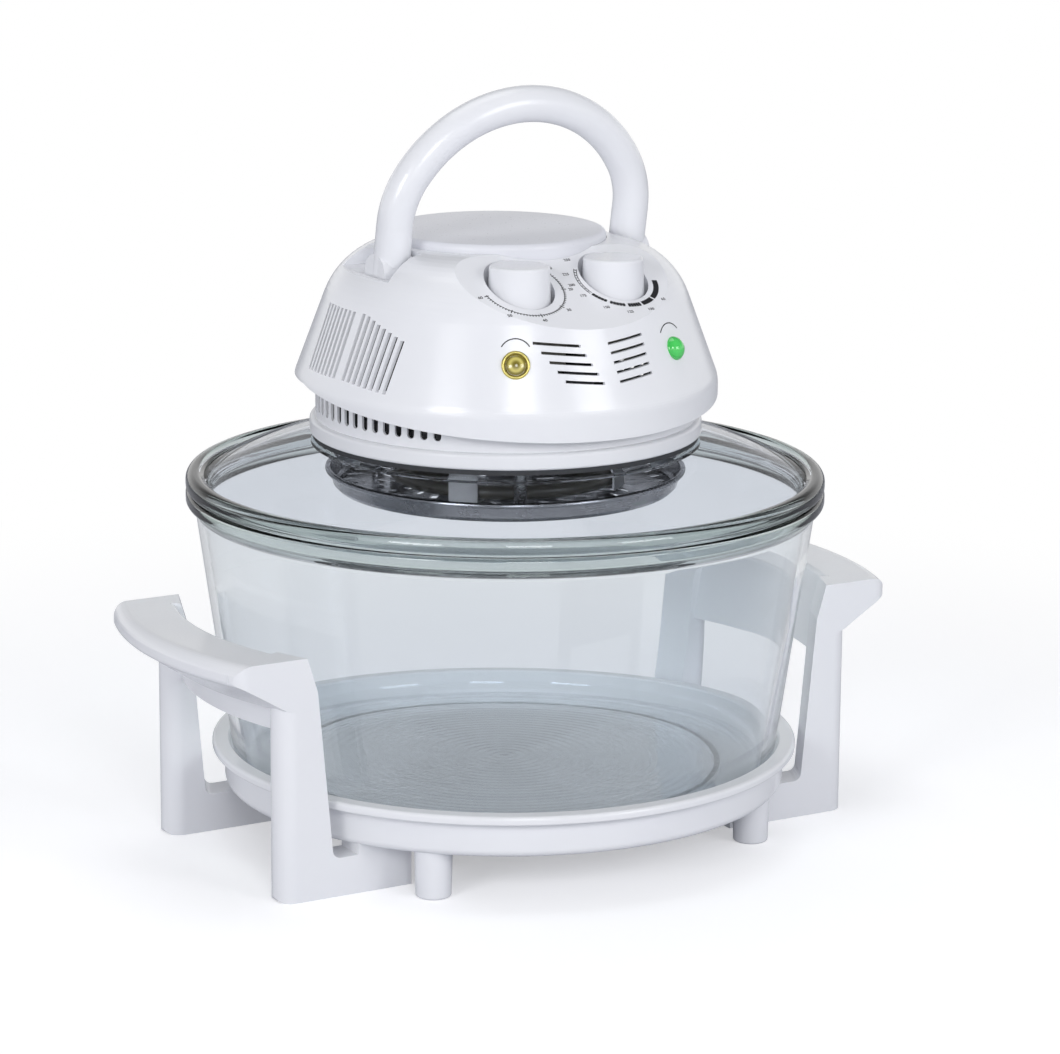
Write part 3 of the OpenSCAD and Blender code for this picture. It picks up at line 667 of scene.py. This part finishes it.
@dataclass
class GlassWare:
    """The bowl and the lid, turned with finer facets than the CAD solids so that their glass bends light evenly."""

    sizes: FrameSizes
    steps: int = 256
    wall: float = 5.5
    lip_step: float = 5.2
    lip_h: float = 7.5
    neck_h: float = 5.5
    neck_r: float = 3.2
    lip_low_r: float = 2.6
    lip_top_r: float = 2.2
    lip_in_r: float = 2.0
    taper: float = 19.4
    corner: float = 14.0
    mid_heights: tuple[float, ...] = (60.0, 100.0)
    lid_wall: float = 5.0
    lid_rim: float = 9.0
    lid_gap: float = 0.95
    bead: float = 9.5
    bead_top_r: float = 4.2
    bead_in_r: float = 3.0
    bead_flat: float = 4.0
    ring_w: float = 1.7
    ring_r: float = 1.1
    ring_foot: float = 0.5
    hole_r: float = 91.0
    hole_round: float = 1.2
    crown_r: float = 101.2
    seat_w: float = 3.0
    dome_wall: float = 4.0
    dome_from: float = 3.2
    dome_drop: float = 2.2
    dome_bend: Point = (0.6, 0.4)
    dome_steps: int = 24

    def bowl_outline(self) -> list[Point]:
        """Returns the bowl's outline, from the foot up the outside and down the inside."""
        s = self.sizes
        top = s.lip_r - self.lip_step
        neck = s.bowl_top - self.lip_h - self.neck_h
        low = top - self.taper
        slope = math.degrees(math.atan(self.taper / (neck - s.bowl_low)))
        lean = math.tan(math.radians(slope))
        cz = s.bowl_low + self.corner
        cr = low + (cz - s.bowl_low) * lean - self.corner / math.cos(math.radians(slope))
        inner = top - self.wall / math.cos(math.radians(slope))
        return (
            [(0.0, s.bowl_low), (cr * 0.5, s.bowl_low)]
            + arc(cr, cz, self.corner, -90, -slope, 12)
            + [(low + z * lean, s.bowl_low + z) for z in self.mid_heights]
            + [(top, neck)]
            + arc(top + self.neck_r, neck + 0.6, self.neck_r, 180, 120, 4)[1:]
            + arc(s.lip_r - self.lip_low_r, s.bowl_top - self.lip_h + self.lip_low_r, self.lip_low_r, -80, 0)
            + arc(s.lip_r - self.lip_top_r, s.bowl_top - self.lip_top_r, self.lip_top_r, 0, 90)
            + arc(inner + self.lip_in_r, s.bowl_top - self.lip_in_r, self.lip_in_r, 90, 180, 6)
            + [(inner, neck)]
            + arc(cr, cz, self.corner - self.wall, -slope, -90, 10)
            + [(cr * 0.5, s.bowl_low + self.wall), (0.0, s.bowl_low + self.wall)]
        )

    def dome(self) -> tuple[list[Point], list[Point]]:
        """Returns the outer and the inner outline of the lid's dome, from its crown outward, a wall apart."""
        s = self.sizes
        span = s.lip_r - self.bead - self.crown_r
        drop = s.lid_top - s.bowl_top - self.lid_rim + self.dome_drop
        first, second = self.dome_bend
        over, under = [], []
        for i in range(self.dome_steps + 1):
            t = i / self.dome_steps
            r = self.crown_r + span * t
            z = s.lid_top - drop * (first * t + second * t * t)
            slope = math.atan(drop * (first + 2 * second * t) / span)
            over.append((r, z))
            under.append((r - self.dome_wall * math.sin(slope), z - self.dome_wall * math.cos(slope)))
        return over, under

    def lid_outline(self) -> list[Point]:
        """Returns the lid's outline, from its locating ring round the bead and over the dome."""
        s = self.sizes
        seat = s.bowl_top
        top_z = seat + self.lid_rim
        mouth = s.lip_r - self.lip_step - self.wall - self.lid_gap
        edge = s.lip_r - self.bead
        hole = self.hole_r + self.hole_round
        ring_z = s.lid_low + self.ring_r
        over, under = self.dome()
        return (
            [(mouth, seat)]
            + arc(s.lip_r - self.lip_low_r, seat + self.lip_low_r, self.lip_low_r, -90, 0)
            + arc(s.lip_r - self.bead_top_r, top_z - self.bead_top_r, self.bead_top_r, 0, 90, 12)
            + arc(edge + self.bead_flat, top_z - self.bead_in_r, self.bead_in_r, 90, 135, 4)
            + over[::-1]
            + arc(hole, s.lid_top - self.hole_round, self.hole_round, 90, 180, 5)
            + arc(hole, s.lid_top - self.lid_wall + self.hole_round, self.hole_round, 180, 270, 5)
            + [(self.crown_r - self.seat_w, s.lid_top - self.lid_wall)]
            + under
            + arc(mouth - self.ring_w, ring_z, self.ring_r, 180, 270, 5)
            + arc(mouth - self.ring_w + self.ring_foot, ring_z, self.ring_r, 270, 360, 5)
        )

    def clear_dome(self, lid: bpy.types.Object) -> None:
        """Gives the faces of the lid's dome their own, clearer glass.

        Args:
            lid: the lid's piece.
        """
        lid.data.materials.append(Finish.DOME_GLASS.material)
        reach = (self.sizes.lip_r - self.bead) * MM
        above = (self.sizes.bowl_top + self.dome_from) * MM
        for face in lid.data.polygons:
            if face.center.xy.length < reach and face.center.z > above:
                face.material_index = 1

    def build(self) -> list[bpy.types.Object]:
        """Returns the bowl and the lid in place of their CAD solids."""
        made = []
        for name, outline, finish, node, body in (
            ("bowl_glass", self.bowl_outline(), Finish.BOWL_GLASS, "glass_bowl", Body.BOWL),
            ("lid_glass", self.lid_outline(), Finish.LID_GLASS, "glass_lid", Body.HEAD),
        ):
            piece = finish_mesh(spin_outline(outline, self.steps), name, finish.material)
            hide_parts(node)
            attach(piece, body.value)
            made.append(piece)
        self.clear_dome(made[-1])
        return made


# ------------------------------------------------------------------ prints on the control panel


@dataclass
class ControlPanel:
    """The scales printed round the two dials, on the hood's sloping front."""

    sizes: FrameSizes
    slope: float = 28.8
    below_top: float = 23.5
    line_y: float = -81.0
    dial_x: float = 27.2
    dial_y: float = -62.5
    timer_r: float = 22.0
    heat_r: float = 21.0
    ink: float = 0.12
    figure_share: float = 1.4
    figure_h: float = 1.9
    figure_gap: float = 4.2
    minute_zero: float = 70.0
    minute_turn: float = 4.0
    first_minute: int = 8
    last_minute: int = 60
    line_w: float = 0.16
    heat_figure_h: float = 1.8
    heat_gap: float = 5.4
    block_fill: float = 0.41
    block_half: float = 1.4

    def placement(self, x: float) -> Matrix:
        """Gives the matrix that lays flat artwork on the panel round one dial.

        Args:
            x: the dial's place across the panel.

        Returns:
            A matrix from the artwork's plane, in millimetres, to the frame's axes.
        """
        rise = math.tan(math.radians(self.slope))
        z = self.sizes.hood_top - self.below_top + (self.dial_y - self.line_y) * rise
        tilt = Matrix.Rotation(math.radians(self.slope), 4, "X")
        return Matrix.Translation((x, self.dial_y, z)) @ tilt @ Matrix.Translation((0, 0, self.ink / 2))

    def bar(self, bm: bmesh.types.BMesh, angle: float, inner: float, outer: float, width: float) -> None:
        """Adds one straight mark across the scale.

        Args:
            bm: the mesh that gets the mark.
            angle: its angle in degrees, anticlockwise from the right.
            inner: its inner radius.
            outer: its outer radius.
            width: its width.
        """
        made = bmesh.ops.create_cube(bm, size=1.0)["verts"]
        place = Matrix.Rotation(math.radians(angle), 4, "Z") @ Matrix.Translation(((inner + outer) / 2, 0, 0))
        size = Matrix.Diagonal((outer - inner, width, self.ink, 1.0))
        bmesh.ops.transform(bm, matrix=place @ size, verts=made)

    def band(self, bm: bmesh.types.BMesh, start: float, end: float, inner: float, outer: float) -> None:
        """Adds a curved block of ink.

        Args:
            bm: the mesh that gets the block.
            start: its first angle in degrees.
            end: its last angle in degrees.
            inner: its inner radius.
            outer: its outer radius.
        """
        piece = curved_block(start, end, inner, outer, self.ink / 2)
        holder = bpy.data.meshes.new("block")
        piece.to_mesh(holder)
        piece.free()
        bm.from_mesh(holder)
        bpy.data.meshes.remove(holder)

    def number(self, bm: bmesh.types.BMesh, words: str, angle: float, radius: float, height: float) -> None:
        """Adds a number that stands upright beside the scale.

        Args:
            bm: the mesh that gets the number.
            words: the number.
            angle: its angle round the dial in degrees.
            radius: its distance from the dial's centre.
            height: the height of its figures.
        """
        curve = bpy.data.curves.new("figures", "FONT")
        curve.body = words
        curve.size = height * self.figure_share
        curve.align_x = "CENTER"
        curve.align_y = "CENTER"
        curve.extrude = self.ink / 2
        holder = bpy.data.objects.new("figures", curve)
        bpy.context.scene.collection.objects.link(holder)
        bpy.context.view_layer.update()
        shape = bpy.data.meshes.new_from_object(holder.evaluated_get(bpy.context.evaluated_depsgraph_get()))
        turn = math.radians(angle)
        shape.transform(Matrix.Translation((radius * math.cos(turn), radius * math.sin(turn), 0)))
        bm.from_mesh(shape)
        bpy.data.objects.remove(holder)
        bpy.data.curves.remove(curve)
        bpy.data.meshes.remove(shape)

    def timer_scale(self) -> bmesh.types.BMesh:
        """Returns the timer's scale: a line, a tick for each minute and a number for each ten."""
        bm = bmesh.new()
        r = self.timer_r
        self.band(bm, -172, 40, r - self.line_w, r + self.line_w)
        for minute in range(self.first_minute, self.last_minute + 1):
            turn = self.minute_zero - self.minute_turn * minute
            inward, outward, width = (0.9, 1.6, 0.5) if minute % 10 == 0 else (0.4, 0.9, 0.42)
            self.bar(bm, turn, r - inward, r + outward, width)
            if minute % 10 == 0:
                self.number(bm, str(minute), turn, r + self.figure_gap, self.figure_h)
        return bm

    def heat_scale(self) -> bmesh.types.BMesh:
        """Returns the temperature scale: a hairline, then marks that thicken to solid blocks."""
        bm = bmesh.new()
        r = self.heat_r
        self.band(bm, 150, 205, r - 0.7, r - 0.4)
        self.band(bm, 150, 205, r + 0.6, r + 0.9)
        for turn in range(152, 206, 6):
            self.bar(bm, turn, r - 0.6, r + 0.9, 0.34)
        for first, last, thick in ((-153, -130, 2.0), (-126, -104, 2.3), (-100, -80, 2.7)):
            for i in range(5):
                turn = first + (last - first) * (i + 0.5) / 5
                half = (last - first) / 5 * self.block_fill
                self.band(bm, turn - half, turn + half, r - thick / 2, r + thick / 2)
            self.band(bm, first, last, r - 0.35, r + 0.35)
        for first, last in ((-77, -56), (-53, -10)):
            self.band(bm, first, last, r - self.block_half, r + self.block_half)
        marks = ((136, "250"), (164, "225"), (-177, "200"), (-157, "175"), (-128, "150"), (-101, "125"), (-74, "100"))
        for turn, words in marks:
            self.number(bm, words, turn, r + self.heat_gap, self.heat_figure_h)
        self.number(bm, "65", -46, r + 5.0, self.heat_figure_h)
        return bm

    def build(self) -> list[bpy.types.Object]:
        """Returns both printed scales."""
        made = []
        for name, x, maker in (
            ("timer_scale_print", -self.dial_x, self.timer_scale),
            ("temperature_scale_print", self.dial_x, self.heat_scale),
        ):
            bm = maker()
            bmesh.ops.transform(bm, matrix=self.placement(x), verts=bm.verts[:])
            piece = finish_mesh(bm, name, Finish.INK.material)
            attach(piece, Body.HEAD.value)
            made.append(piece)
        return made


# ------------------------------------------------------------------ lamps


def hood_surface() -> BVHTree:
    """Returns the hood's CAD surface, in metres, for pieces that are laid on it."""
    return BVHTree.FromObject(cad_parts["hood"], bpy.context.evaluated_depsgraph_get())


@dataclass(frozen=True)
class PilotLamp:
    """One pilot lamp on the hood's front wall, with the arc printed over it."""

    node: str
    side: int
    colour: str
    deep: str
    rings: float
    lens_r: float
    dome: float
    bezel_r: float
    mark_r: float
    mark_half: float


@dataclass
class PilotLamps:
    """The two pilot lamps: fuller lenses than the CAD solids, the gilt bezel and the printed arcs."""

    turn: float = 27.1
    lean: float = 20.4
    stem_r: float = 4.0
    stem: float = 7.0
    seat: float = 0.15
    brim: float = 1.0
    reach: float = 20.0
    beside: float = 9.0
    crest: float = 13.2
    mark_w: float = 0.28
    mark_t: float = 0.1
    bead: float = 0.8
    wall: BVHTree = field(default_factory=hood_surface)
    lamps: tuple[PilotLamp, ...] = (
        PilotLamp("power_lamp_lens", -1, "D8CB72", "7C7029", 2.1, 5.0, 1.6, 6.3, 8.0, 60.0),
        PilotLamp("heat_lamp_lens", 1, "55D868", "35B54C", 3.0, 6.1, 4.2, 0.0, 10.5, 50.0),
    )

    def outward(self, side: int) -> Matrix:
        """Gives the matrix whose Z axis points straight out of the hood's wall at a lamp.

        Args:
            side: -1 for the lamp on the left and 1 for the one on the right.

        Returns:
            A rotation matrix.
        """
        spin = Matrix.Rotation(math.radians(-90 + side * self.turn), 4, "Z")
        return spin @ Matrix.Rotation(math.radians(90 - self.lean), 4, "Y")

    def axis(self, lamp: PilotLamp) -> Vector:
        """Returns the direction straight out of the wall at a lamp."""
        return (self.outward(lamp.side) @ Vector((0, 0, 1))).normalized()

    def foot(self, lamp: PilotLamp) -> Vector:
        """Finds the point on the hood's wall that a lamp stands on.

        Args:
            lamp: the lamp.

        Returns:
            The point in millimetres, beside the lens's hole, where the wall is whole.
        """
        low, high = (Vector(c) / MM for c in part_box(lamp.node))
        middle = (low + high) / 2
        beside = self.outward(lamp.side) @ Vector((0, self.beside, 0))
        heights = [self.wall_height(middle + side, lamp) for side in (beside, -beside)]
        return middle + self.axis(lamp) * (sum(heights) / 2)

    def wall_height(self, spot: Vector, lamp: PilotLamp) -> float:
        """Measures how far the hood's wall lies out from a point, along a lamp's axis.

        Args:
            spot: the point in millimetres.
            lamp: the lamp.

        Returns:
            The distance in millimetres, above nought where the wall lies further out.
        """
        axis = self.axis(lamp)
        hit = self.wall.ray_cast((spot + axis * self.reach) * MM, -axis)[0]
        return (hit / MM - spot).dot(axis) if hit else 0.0

    def drape(self, bm: bmesh.types.BMesh, lamp: PilotLamp) -> None:
        """Lays flat artwork, already placed in the frame, on the curved wall.

        Args:
            bm: the artwork's mesh.
            lamp: the lamp whose axis it is laid along.
        """
        axis = self.axis(lamp)
        foot = self.foot(lamp)
        for vert in bm.verts:
            over = (vert.co - foot).dot(axis)
            vert.co += axis * (self.wall_height(vert.co, lamp) + over)

    def lens(self, lamp: PilotLamp) -> bmesh.types.BMesh:
        """Turns a lens: its stem in the wall, its brim and its dome.

        Args:
            lamp: the lamp.

        Returns:
            The lens's mesh, with the wall's skin at height nought.
        """
        ball = (lamp.lens_r**2 + lamp.dome**2) / (2 * lamp.dome)
        first = math.degrees(math.acos(lamp.lens_r / ball)) if ball > lamp.lens_r else 0.0
        crown = arc(0.0, self.brim + lamp.dome - ball, ball, first, 90, 16)[1:-1]
        outline = [
            (0.0, -self.stem),
            (self.stem_r, -self.stem),
            (self.stem_r, self.seat),
            (lamp.lens_r, self.seat),
            (lamp.lens_r, self.brim),
            *crown,
            (0.0, self.brim + lamp.dome),
        ]
        return spin_outline(outline, 48)

    def place(
        self,
        bm: bmesh.types.BMesh,
        lamp: PilotLamp,
        name: str,
        material: bpy.types.Material,
        slot: Slot,
        draped: bool = False,
    ) -> bpy.types.Object:
        """Stands a mesh on the wall at a lamp.

        Args:
            bm: the mesh, with the wall's skin at height nought.
            lamp: the lamp.
            name: the piece's name.
            material: its material.
            slot: the record's slot for its finish; not used.
            draped: whether it is bent to follow the curved wall.

        Returns:
            The new piece, riding on the head.
        """
        stand = Matrix.Translation(self.foot(lamp)) @ self.outward(lamp.side)
        bmesh.ops.transform(bm, matrix=stand, verts=bm.verts[:])
        if draped:
            self.drape(bm, lamp)
        made = finish_mesh(bm, name, material)
        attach(made, Body.HEAD.value)
        return made

    def bezel(self, lamp: PilotLamp) -> bmesh.types.BMesh:
        """Turns the bezel: a rounded bright ring with a lip that falls to the lens.

        Args:
            lamp: the lamp.

        Returns:
            The bezel's mesh, with the wall's skin at height nought.
        """
        inner, outer = lamp.lens_r + 0.1, lamp.bezel_r + self.bead
        outline = [(inner, 0.02), (outer, 0.02), (outer, 0.5)]
        outline += arc(lamp.bezel_r, self.bead, self.bead, 0, 180, 10)[1:]
        return spin_outline(outline + [(inner, 0.45)], 64)

    def build(self) -> list[bpy.types.Object]:
        """Returns the lenses, the bezel and the arcs."""
        pieces = []
        for lamp in self.lamps:
            middle = tuple(self.foot(lamp))
            look = LampLens(f"{lamp.node}_polycarbonate", lamp.colour, lamp.deep, lamp.rings, middle)
            glow = finished(look.name, look.shader)
            lens = self.place(self.lens(lamp), lamp, f"{lamp.node}_dome", glow, Slot.PLASTIC)
            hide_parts(lamp.node)
            pieces.append(lens)
            if lamp.bezel_r:
                ring = self.place(self.bezel(lamp), lamp, "power_lamp_bezel", Finish.GILT.material, Slot.STEEL)
                pieces.append(ring)
            half, mark_r = lamp.mark_half, lamp.mark_r
            mark = curved_block(180 - half, 180 + half, mark_r - self.mark_w, mark_r + self.mark_w, self.mark_t)
            bmesh.ops.translate(mark, vec=(mark_r - self.crest, 0, 0), verts=mark.verts[:])
            pieces.append(self.place(mark, lamp, f"{lamp.node}_mark_print", Finish.INK.material, Slot.PRINT, True))
        return pieces


# ------------------------------------------------------------------ CAD nodes that keep their shape


@dataclass
class Housing:
    """Gives the CAD nodes that stay their finishes."""

    finishes: dict[Finish, tuple[str, ...]] = field(
        default_factory=lambda: {
            Finish.ABS: (
                "base_tray",
                "base_feet",
                "side_frame_left",
                "side_frame_right",
                "timer_knob",
                "temperature_knob",
                "carry_handle",
            ),
            Finish.HOOD_ABS: ("hood",),
            Finish.COLLAR_ABS: ("head_base",),
            Finish.ABS_SATIN: ("top_cap",),
            Finish.GUARD_STEEL: ("guard_tray", "guard_spacers", "reflector"),
            Finish.BRIGHT_STEEL: (
                "frame_screws",
                "hood_screws",
                "guard_screws",
                "clamp_ring",
                "heater_brackets",
                "motor_bracket",
                "motor_shaft",
                "cooling_fan",
                "convection_fan",
                "timer_shaft",
                "thermostat_shaft",
                "handle_pins",
            ),
            Finish.SILICONE: ("lid_gasket", "cord_inlet"),
            Finish.QUARTZ: ("heater_ring",),
            Finish.CERAMIC: ("heater_terminals",),
            Finish.MOTOR: ("fan_motor",),
            Finish.PHENOLIC: ("timer_unit", "thermostat_unit"),
            Finish.BLACK: ("safety_switch",),
        }
    )

    def build(self) -> list[str]:
        """Dresses every node and returns their names."""
        done = []
        for finish, nodes in self.finishes.items():
            for node in nodes:
                dress(node, finish.material)
                done.append(node)
        return done


# ------------------------------------------------------------------ studio


@dataclass(frozen=True)
class SoftBox:
    """A square studio lamp."""

    name: str
    place: tuple[float, float, float]
    size: float
    watts: float

    def build(self, target: Vector) -> None:
        """Adds the lamp, turned to face the target.

        Args:
            target: the point it faces, in metres.
        """
        light = bpy.data.lights.new(self.name, "AREA")
        light.shape = "SQUARE"
        light.size = self.size
        light.energy = self.watts
        lamp = bpy.data.objects.new(self.name, light)
        lamp.location = self.place
        lamp.rotation_euler = (target - Vector(self.place)).to_track_quat("-Z", "Y").to_euler()
        bpy.context.scene.collection.objects.link(lamp)


@dataclass
class Studio:
    """Camera, lamps, world and floor."""

    azimuth: float = -30.31
    elevation: float = 13.3
    roll: float = 0.41
    distance_mm: float = 2125.79
    aim_x_mm: float = 12.96
    aim_z_mm: float = 158.01
    focal_px: float = 4096.1
    room: float = 1.15
    ceiling: float = 0.28
    seen_ceiling: float = 0.06
    ceiling_from: float = 0.12
    ceiling_to: float = 0.5
    shadow_from: float = 0.28
    shadow_to: float = 0.75
    floor_glow: float = 0.36
    floor_mm: float = 9000.0
    target: tuple[float, float, float] = (0.0, 0.0, 0.2)
    lamps: tuple[SoftBox, ...] = (
        SoftBox("key_softbox", (0.9, -2.4, 1.1), 0.9, 13.0),
        SoftBox("side_softbox", (-2.2, -1.2, 1.0), 0.8, 15.6),
        SoftBox("front_softbox", (-0.9, -2.3, 1.3), 0.7, 11.5),
        SoftBox("top_softbox", (0.1, 0.5, 2.3), 1.4, 9.5),
    )

    def camera(self) -> None:
        """Stands the camera at the photograph's place."""
        a, e, roll = (math.radians(v) for v in (self.azimuth, self.elevation, self.roll))
        back = Vector((math.sin(a) * math.cos(e), -math.cos(a) * math.cos(e), math.sin(e)))
        right = Vector((math.cos(a), math.sin(a), 0.0))
        up = back.cross(right)
        right, up = right * math.cos(roll) + up * math.sin(roll), up * math.cos(roll) - right * math.sin(roll)
        data = bpy.data.cameras.new("photo_camera")
        data.sensor_width = SENSOR_W
        data.lens = self.focal_px / IMAGE_W * data.sensor_width
        data.clip_end = 50.0
        made = bpy.data.objects.new("photo_camera", data)
        place = Vector((0, 0, self.aim_z_mm)) + right * self.aim_x_mm + back * self.distance_mm
        turn = Matrix((right, up, back)).transposed().to_4x4()
        made.matrix_world = Matrix.Translation(place * MM) @ turn
        bpy.context.scene.collection.objects.link(made)
        bpy.context.scene.camera = made

    def world(self) -> None:
        """Lights the scene from a pale room with a dark ceiling, white where the camera looks at it."""
        world = bpy.data.worlds.new("pale_studio")
        bpy.context.scene.world = world
        world.use_nodes = True
        tree = world.node_tree
        tree.nodes.clear()
        path = add_node(tree, "ShaderNodeLightPath").outputs
        sky = add_node(tree, "ShaderNodeTexCoord").outputs["Generated"]
        up = add_node(tree, "ShaderNodeSeparateXYZ", inputs={0: sky}).outputs["Z"]
        dark = remap(tree, up, (self.ceiling_from, self.ceiling_to), smooth=True)
        dimmed = calc(tree, "MULTIPLY", dark, calc(tree, "SUBTRACT", 1.0, path["Is Camera Ray"]))
        rooms = []
        for colour, walls, ceiling in (
            (srgb("F1F3F8"), self.room, self.room * self.ceiling),
            (WHITE, 1.0, self.seen_ceiling),
        ):
            inputs = {"Color": colour, "Strength": remap(tree, dimmed, (0.0, 1.0), (walls, ceiling))}
            rooms.append(add_node(tree, "ShaderNodeBackground", inputs=inputs).outputs["Background"])
        sight = path["Is Camera Ray"]
        for kind in ("Is Transmission Ray", "Is Glossy Ray"):
            sight = calc(tree, "MAXIMUM", sight, path[kind])
        add_node(tree, "ShaderNodeOutputWorld", inputs={"Surface": mix_shaders(tree, sight, *rooms)})

    def paper(self, tree: Tree) -> Socket:
        """Adds the floor's shader: pale paper that keeps the shadow, plain white further off, duller unseen.

        Args:
            tree: the node tree that gets it.

        Returns:
            The socket of the shader.
        """
        away = add_node(tree, "ShaderNodeVectorMath", {"operation": "LENGTH"}, {0: position(tree)}).outputs["Value"]
        far = remap(tree, away, (self.shadow_from, self.shadow_to), smooth=True)
        path = add_node(tree, "ShaderNodeLightPath").outputs
        seen = calc(tree, "MAXIMUM", path["Is Camera Ray"], path["Is Transmission Ray"])
        pale, dull = (
            add_node(tree, "ShaderNodeBsdfDiffuse", inputs={"Color": srgb(code)}).outputs["BSDF"]
            for code in ("F2F2F4", "CDCED4")
        )
        glow, plain = (
            add_node(tree, "ShaderNodeEmission", inputs={"Color": WHITE, "Strength": power}).outputs["Emission"]
            for power in (self.floor_glow, 1.0)
        )
        near = add_node(tree, "ShaderNodeAddShader", inputs={0: pale, 1: glow}).outputs["Shader"]
        return mix_shaders(tree, seen, dull, mix_shaders(tree, far, near, plain))

    def floor(self) -> None:
        """Lays the floor's disc of paper."""
        bm = bmesh.new()
        bmesh.ops.create_circle(bm, cap_ends=True, segments=96, radius=self.floor_mm)
        finish_mesh(bm, "studio_floor", finished("pale_paper", self.paper))

    def build(self) -> None:
        """Sets up the whole studio and the view settings."""
        self.camera()
        self.world()
        self.floor()
        for lamp in self.lamps:
            lamp.build(Vector(self.target))
        bpy.context.scene.view_settings.view_transform = "Standard"


def main() -> None:
    """Builds the oven's pieces in order and reports each one."""
    logging.basicConfig(level=logging.INFO, format="%(name)s: %(message)s")
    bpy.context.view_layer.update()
    sizes = FrameSizes.read()
    Studio().build()
    LOG.info("studio ready")
    for node in Housing().build():
        LOG.info("dressed %s", node)
    builders: list[Callable[[], list[bpy.types.Object]]] = [
        GlassWare(sizes).build,
        ControlPanel(sizes).build,
        PilotLamps().build,
    ]
    for build in builders:
        for piece in build():
            LOG.info("built %s", piece.name)


if __name__ == "__main__":
    main()
